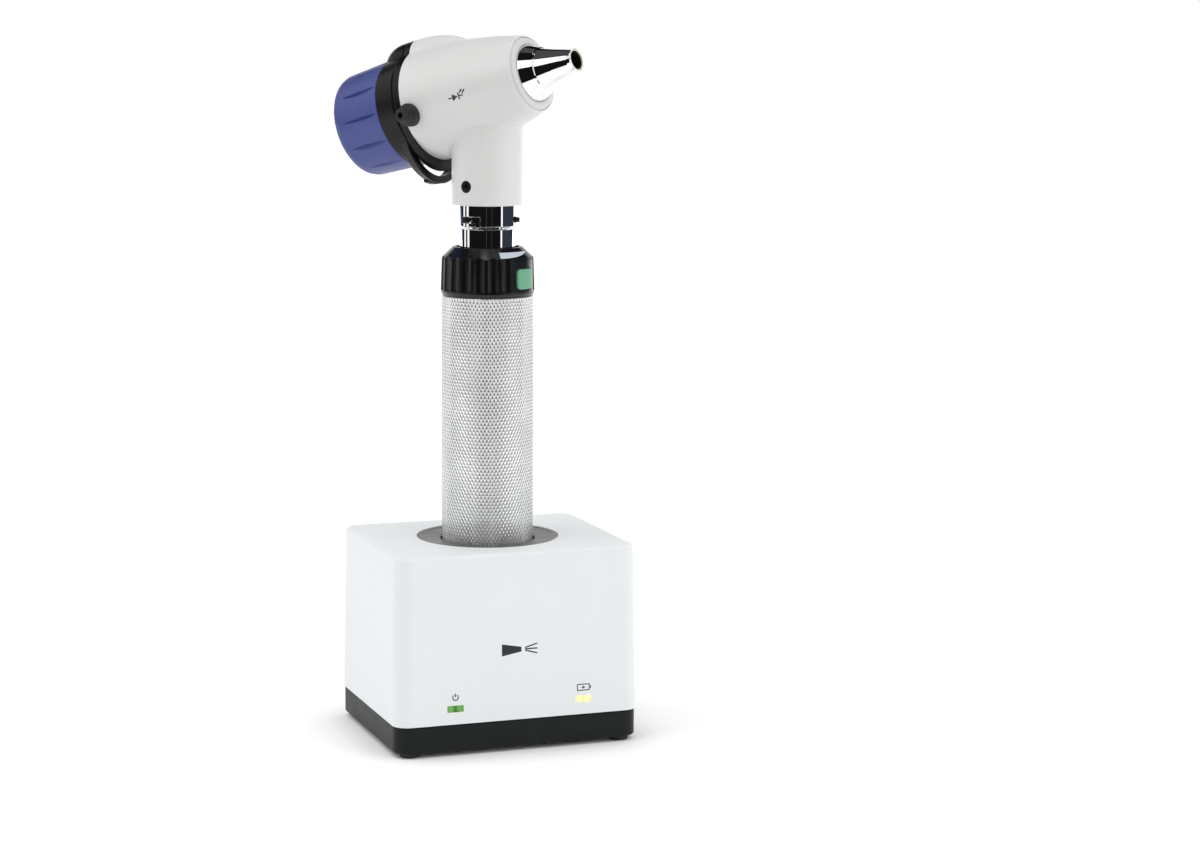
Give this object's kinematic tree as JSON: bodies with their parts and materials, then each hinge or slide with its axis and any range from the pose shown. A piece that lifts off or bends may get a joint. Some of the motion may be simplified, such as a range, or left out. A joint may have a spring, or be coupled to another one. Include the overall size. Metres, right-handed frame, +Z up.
{
  "type": "otoscope with desktop charging stand",
  "caption": "Pneumatic otoscope with knurled handle, dimmer ring, bayonet head and swing-out magnifier, standing in its box-shaped desktop charger.",
  "frame": {"origin": "on the table plane, under the shared axis of handle and socket", "axes": "+Z up along the handle, -Y out of the front of the stand, +X to the right of the stand"},
  "size_m": [0.082, 0.0805, 0.2212],
  "materials": {
    "stand_white": "satin moulded",
    "stand_black": "fine texture",
    "foot_rubber": "matte",
    "screw_steel": "plain",
    "bezel_steel": "turned",
    "inner_black": "matte",
    "contact_brass": "polished",
    "board_green": "solder mask",
    "board_dark": "matte",
    "led_body": "clear",
    "window_green": "clear, lit green",
    "window_amber": "clear, lit amber",
    "handle_alu": "knurled, satin anodised",
    "cap_alu": "turned",
    "battery_wrap": "shrink sleeve",
    "chrome": "polished",
    "pin_black": "blackened",
    "spring_steel": "drawn wire",
    "ring_black": "satin",
    "mark_pale": "printed",
    "button_green": "satin",
    "head_white": "satin",
    "nose_white": "soft",
    "fibre": "polished fibre ends",
    "lamp_alu": "turned",
    "lens_glass": "polished",
    "grip_blue": "satin",
    "seal_rubber": "matte"
  },
  "bodies": {
    "charger": {"charger_housing": "stand_white", "charger_base": "stand_black", "rubber_feet": "foot_rubber", "base_screws": "screw_steel", "socket_bezel": "bezel_steel", "socket_cup": "inner_black", "socket_centre_contact": "contact_brass", "socket_ring_contact": "contact_brass", "charger_board": "board_green", "board_screws": "screw_steel", "board_parts": "board_dark", "power_led": "led_body", "charge_led": "led_body", "power_window": "window_green", "charge_window": "window_amber", "dc_jack": "board_dark", "dc_jack_pin": "contact_brass"},
    "handle": {"handle_tube": "handle_alu", "handle_end_cap": "cap_alu", "cap_seal": "seal_rubber", "cap_insulator": "inner_black", "cap_contact": "contact_brass", "battery_spring": "spring_steel", "battery_pack": "battery_wrap", "battery_terminal": "contact_brass", "battery_contact": "contact_brass", "contact_disc": "inner_black", "neck": "chrome", "bayonet_pins": "pin_black", "retaining_ring": "pin_black", "neck_insulator": "inner_black", "contact_spring": "spring_steel", "neck_contact": "contact_brass", "dimmer_track": "board_green", "slip_ring": "contact_brass"},
    "dimmer_ring": {"brightness_ring": "ring_black", "level_mark": "mark_pale", "dimmer_wiper": "contact_brass"},
    "button": {"power_button": "button_green", "button_leaf": "contact_brass"},
    "head": {"head_shell": "head_white", "stem_screw": "pin_black", "nose_ring": "nose_white", "nose_cone": "chrome", "light_guide": "fibre", "view_tube": "inner_black", "light_pipe": "fibre", "lamp_module": "lamp_alu", "lamp_lens": "lens_glass", "mount_sleeve": "chrome", "insufflation_port": "seal_rubber", "rear_rim": "ring_black", "rim_seal": "seal_rubber", "pivot_screw": "screw_steel"},
    "swing_lens": {"lens_frame": "ring_black", "eyepiece_ring": "grip_blue", "pivot_cap": "ring_black", "lens": "lens_glass", "lens_retainer": "inner_black"}
  },
  "joints": [
    {"name": "lift_out", "type": "slide", "parent": "charger", "child": "handle", "axis": [0, 0, 1], "range_m": [0, 0.06]},
    {"name": "brightness_turn", "type": "hinge", "parent": "handle", "child": "dimmer_ring", "pos_m": [0, 0, 0.147], "axis": [0, 0, 1], "range_deg": [-110, 0]},
    {"name": "button_press", "type": "slide", "parent": "dimmer_ring", "child": "button", "axis": [-0.5736, 0.8192, 0], "range_m": [0, 0.001], "stiffness_N_per_m": 600, "springref_m": -0.002},
    {"name": "head_twist", "type": "hinge", "parent": "handle", "child": "head", "pos_m": [0, 0, 0.1639], "axis": [0, 0, 1], "range_deg": [-25, 0]},
    {"name": "lens_swing", "type": "hinge", "parent": "head", "child": "swing_lens", "pos_m": [-0.01875, 0.02402, 0.21405], "axis": [0.5936, -0.7605, 0.2632], "range_deg": [-75, 75]}
  ]
}
